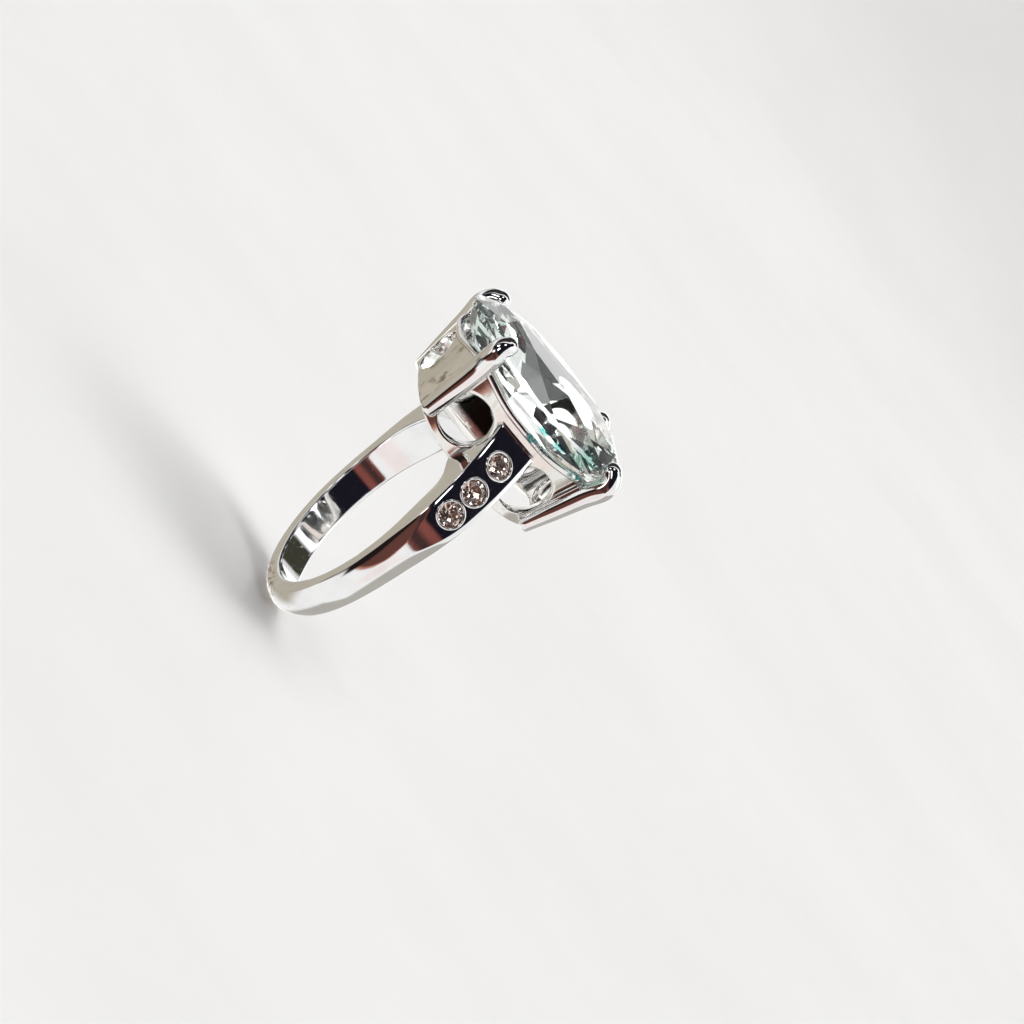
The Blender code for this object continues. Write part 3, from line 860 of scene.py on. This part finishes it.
def add_scuffs(shader, base, rough, normal):
    """Specks over the lower band, and worn patches and cracks along its closing seam."""
    low = shader.ramp(shader.place("Z"), *SCUFFED_BELOW, 1.0, 0.0)
    low = shader.math("MULTIPLY", low, shader.ramp(shader.away("X", SEAM_MIDDLE), *SCUFFED_BESIDE, 1.0, 0.0))
    specks = shader.ramp(shader.noise(0.22, 3.0), 0.66, 0.72)
    specks = shader.math("MULTIPLY", specks, shader.ramp(shader.place("Z"), *SPECKED_BELOW, 1.0, 0.0))
    patches = shader.ramp(shader.noise(0.5, 5.0), 0.48, 0.60)
    worn = shader.math("MAXIMUM", specks, shader.math("MULTIPLY", patches, low))
    base = shader.mix(worn, base, WORN_PLATING)
    cracks = shader.ramp(shader.noise(0.35, 4.0, (1.0, 2.5, 1.0)), 0.53, 0.58)
    cracks = shader.math("MULTIPLY", shader.math("MULTIPLY", cracks, low), 0.9)
    base = shader.mix(cracks, base, CRACK_BROWN)
    rough = shader.math("MULTIPLY_ADD", worn, 0.25, rough)
    return base, rough, shader.bump(shader.math("SUBTRACT", 1.0, worn), 0.03, normal)


def add_deposits(shader, base, rough):
    """Blue-green crust at a few places under the large stone's edge, which isn't metal."""
    clean = 1.0
    for point, radius in DEPOSITS:
        grain = shader.ramp(shader.noise(0.28, 5.0), 0.45, 0.55)
        crust = shader.math("MULTIPLY", shader.near(point, radius), grain)
        base = shader.mix(crust, base, CRUST_GREEN)
        rough = shader.math("MULTIPLY_ADD", crust, 0.5, rough)
        clean = shader.math("MULTIPLY", clean, shader.math("SUBTRACT", 1.0, crust))
    shader.link(clean, shader.surface.inputs["Metallic"])
    return base, rough


def metal(name, colour, roughness, wave, stain=0.0, scuffs=False, deposits=False, inner_face=False):
    """Plated white metal: hand-polished waviness, hairline scratches, and the wear and the inner face's
    painted shade that are asked for.
    """
    shader = Shader(name)
    surface = shader.surface
    surface.inputs["Metallic"].default_value = 1.0
    shade = shader.ramp(shader.noise(2.2), 0.35, 0.7)
    base = shader.mix(shade, colour, tuple(0.94 * part for part in colour))
    rough = shader.ramp(shader.noise(0.9, 4.0), 0.35, 0.75, roughness, roughness * 1.9)
    if stain:
        base, rough = add_stains(shader, base, rough, stain)
    if inner_face:
        base, rough = add_inner_face_with_painted_shade(shader, base, rough)
    hairlines = shader.ramp(shader.noise(0.05, 2.0, (1.0, 9.0, 1.0)), 0.60, 0.72)
    crossed = shader.ramp(shader.noise(0.06, 2.0, (1.0, 1.0, 8.0)), 0.62, 0.74)
    lines = shader.math("MAXIMUM", hairlines, crossed)
    rough = shader.math("MULTIPLY_ADD", lines, 0.03, rough)
    normal = shader.bump(shader.noise(1.6, 1.0), wave)
    normal = shader.bump(lines, 0.0003, normal)
    if scuffs:
        base, rough, normal = add_scuffs(shader, base, rough, normal)
    if deposits:
        base, rough = add_deposits(shader, base, rough)
    shader.link(base, surface.inputs["Base Color"])
    shader.link(rough, surface.inputs["Roughness"])
    shader.link(normal, surface.inputs["Normal"])
    return shader.material


def crystal(name, colour, ior, clarity):
    """Clear cut glass, faintly worn. It returns its shader and its colour, for more to be added to them."""
    shader = Shader(name)
    surface = shader.surface
    surface.inputs["Transmission Weight"].default_value = clarity
    surface.inputs["IOR"].default_value = ior
    shade = shader.ramp(shader.noise(1.5), 0.3, 0.7)
    base = shader.mix(shade, colour, tuple(0.985 * part for part in colour))
    shader.link(base, surface.inputs["Base Color"])
    rough = shader.ramp(shader.noise(0.5, 4.0), 0.60, 0.80, 0.0, 0.02)
    shader.link(rough, surface.inputs["Roughness"])
    shader.link(shader.bump(shader.noise(0.9, 2.0), 0.0015), surface.inputs["Normal"])
    return shader, base


def large_stone_glass():
    """Glass tinted at a few places, milky towards its two ends, and greener the further light goes in it."""
    clarity = 0.99
    end_haze = 0.10
    shader, base = crystal("center_glass", (0.985, 0.995, 0.99), 1.43, clarity)
    surface = shader.surface
    for point, radius, tint in STONE_TINTS:
        base = shader.mix(shader.near(point, radius), base, tint)
    shader.link(base, surface.inputs["Base Color"])
    ends = shader.ramp(shader.away("Y"), *MILKY_ENDS)
    clear = shader.math("MULTIPLY_ADD", ends, -end_haze, clarity)
    shader.link(clear, surface.inputs["Transmission Weight"])
    volume = shader.tree.nodes.new("ShaderNodeVolumeAbsorption")
    volume.inputs["Color"].default_value = (0.60, 0.92, 0.86, 1.0)
    volume.inputs["Density"].default_value = 8.0
    shader.link(volume.outputs[0], shader.tree.nodes["Material Output"].inputs["Volume"])
    return shader.material


def small_stone_glass():
    shader, _ = crystal("accent_crystal", (1.0, 0.86, 0.77), 1.70, 0.97)
    return shader.material


def floor_material():
    shader = Shader("pale_floor")
    tone = shader.ramp(shader.noise(40.0, 4.0), 0.3, 0.7)
    pale = shader.mix(tone, (0.86, 0.855, 0.84), (0.89, 0.885, 0.875))
    shader.link(pale, shader.surface.inputs["Base Color"])
    shader.surface.inputs["Roughness"].default_value = 0.7
    shader.link(shader.bump(shader.noise(0.6, 5.0), 0.02), shader.surface.inputs["Normal"])
    return shader.material


def paint_node(node, material):
    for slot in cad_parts[node].material_slots:
        slot.material = material


# Stage, light and camera


def camera_axes():
    """The camera's right, up and backward directions in the ring's axes."""
    level = math.cos(CAMERA_RISE)
    back = Vector((math.cos(CAMERA_SIDE) * level, -math.sin(CAMERA_SIDE) * level, math.sin(CAMERA_RISE)))
    flat_right = Vector((math.sin(CAMERA_SIDE), math.cos(CAMERA_SIDE), 0.0))
    flat_up = back.cross(flat_right)
    right = flat_right * math.cos(CAMERA_ROLL) + flat_up * math.sin(CAMERA_ROLL)
    up = flat_up * math.cos(CAMERA_ROLL) - flat_right * math.sin(CAMERA_ROLL)
    return right, up, back


def make_camera():
    right, up, back = camera_axes()
    place_at = back * CAMERA_DISTANCE
    aim = right * CAMERA_AIM[0] + up * CAMERA_AIM[1]
    out = (place_at - aim).normalized()
    side = up.cross(out).normalized()
    data = bpy.data.cameras.new("camera")
    data.lens = CAMERA_LENS
    data.sensor_width = CAMERA_SENSOR
    data.clip_start, data.clip_end = CAMERA_CLIP
    camera = bpy.data.objects.new("camera", data)
    matrix = Matrix((side, out.cross(side), out)).transposed().to_4x4()
    matrix.translation = place_at * MM
    camera.matrix_world = matrix
    bpy.context.scene.collection.objects.link(camera)
    bpy.context.scene.camera = camera


def make_backdrop():
    """A pale floor that sweeps up into a wall far behind the ring, all the way round.

    Only the camera sees it, so that it hides none of the tent's panels from the metal and the stones.
    """
    profile = [(radius, 0.0) for radius in (*FLOOR_RINGS, SWEEP_START)]
    for index in range(1, SWEEP_STEPS + 1):
        turn = math.pi / 2 * index / SWEEP_STEPS
        profile.append((SWEEP_START + SWEEP * math.sin(turn), SWEEP * (1 - math.cos(turn))))
    profile.append((SWEEP_START + SWEEP, WALL_TOP))
    turns = [2 * math.pi * index / BACKDROP_SIDES for index in range(BACKDROP_SIDES)]
    rows = []
    for radius, z in profile:
        rows.append([Vector((radius * math.cos(t), radius * math.sin(t), FLOOR_Z + z)) for t in turns])
    bm = bmesh.new()
    grid(bm, rows, closed=True)
    bm.transform(Matrix.Scale(MM, 4))
    mesh = bpy.data.meshes.new("backdrop")
    bm.to_mesh(mesh)
    bm.free()
    mesh.shade_smooth()
    mesh.materials.append(floor_material())
    backdrop = bpy.data.objects.new("backdrop", mesh)
    bpy.context.scene.collection.objects.link(backdrop)
    backdrop.visible_glossy = False
    backdrop.visible_diffuse = False
    backdrop.visible_transmission = False
    backdrop.visible_shadow = False


def make_world():
    """A white tent round the ring, with soft-edged panels hung in it."""
    world = bpy.data.worlds.new("studio")
    world.use_nodes = True
    bpy.context.scene.world = world
    tree = world.node_tree
    nodes, links = tree.nodes, tree.links

    def math_node(operation, *values):
        node = nodes.new("ShaderNodeMath")
        node.operation = operation
        for socket, value in zip(node.inputs, values):
            if hasattr(value, "is_output"):
                links.new(value, socket)
            else:
                socket.default_value = value
        return node.outputs[0]

    def fade(value, low, high):
        node = nodes.new("ShaderNodeMapRange")
        node.interpolation_type = "SMOOTHSTEP"
        links.new(value, node.inputs["Value"])
        node.inputs["From Min"].default_value = low
        node.inputs["From Max"].default_value = high
        return node.outputs["Result"]

    parts = nodes.new("ShaderNodeSeparateXYZ")
    links.new(nodes.new("ShaderNodeTexCoord").outputs["Generated"], parts.inputs[0])
    turn = math_node("DEGREES", math_node("ARCTAN2", parts.outputs["Z"], parts.outputs["X"]))
    side = math_node("DEGREES", math_node("ARCSINE", parts.outputs["Y"]))
    under = None
    for (turn_low, turn_high), (side_low, side_high), lean, blur, colour in PANELS:
        leaning = math_node("MULTIPLY_ADD", turn, -lean, math_node("ADD", side, lean * turn_low))
        inside = 1.0
        for value, edge in ((turn, turn_low), (side, side_low)):
            inside = math_node("MULTIPLY", inside, fade(value, edge - blur, edge + blur))
        for value, edge in ((turn, turn_high), (leaning, side_high)):
            inside = math_node("MULTIPLY", inside, fade(value, edge + blur, edge - blur))
        mix = nodes.new("ShaderNodeMix")
        mix.data_type = "RGBA"
        links.new(inside, mix.inputs["Factor"])
        mix.inputs["A"].default_value = (*TENT_WHITE, 1.0)
        if under is not None:
            links.new(under, mix.inputs["A"])
        mix.inputs["B"].default_value = (*colour, 1.0)
        under = mix.outputs["Result"]
    links.new(under, nodes["Background"].inputs["Color"])


def make_sun():
    """A broad soft light from above, which the metal doesn't mirror."""
    data = bpy.data.lights.new("soft_top", "SUN")
    data.angle = math.radians(SUN_WIDTH)
    data.energy = SUN_POWER
    sun = bpy.data.objects.new("soft_top", data)
    sun.visible_glossy = False
    sun.rotation_mode = "QUATERNION"
    sun.rotation_quaternion = Vector(SUN_FROM).to_track_quat("Z", "Y")
    bpy.context.scene.collection.objects.link(sun)


def build():
    shank_metal = metal("shank_metal", (0.86, 0.86, 0.87), 0.030, 0.0035, scuffs=True)
    claw_metal = metal("claw_metal", (0.86, 0.86, 0.87), 0.028, 0.003, deposits=True)
    rail_metal = metal("rail_metal", (0.84, 0.83, 0.82), 0.04, 0.004, stain=0.4, deposits=True)
    gallery_metal = metal("gallery_metal", (0.84, 0.83, 0.80), 0.06, 0.006, stain=0.85, inner_face=True)
    collet_metal = metal("collet_metal", (0.90, 0.90, 0.90), 0.03, 0.001)
    center_glass = large_stone_glass()
    accent_crystal = small_stone_glass()
    make_shank(shank_metal)
    make_gallery(gallery_metal)
    make_rail(rail_metal)
    for corner in CORNERS:
        make_claw(corner, claw_metal)
    for side_name, side in (("right", 1), ("left", -1)):
        for level in ACCENT_ANGLES:
            make_collet(side_name, side, level, collet_metal)
            paint_node(f"accent_stone_{side_name}_{level}", accent_crystal)
    paint_node("center_stone", center_glass)
    make_backdrop()
    make_world()
    make_sun()
    make_camera()
    bpy.context.scene.view_settings.view_transform = "Standard"


build()
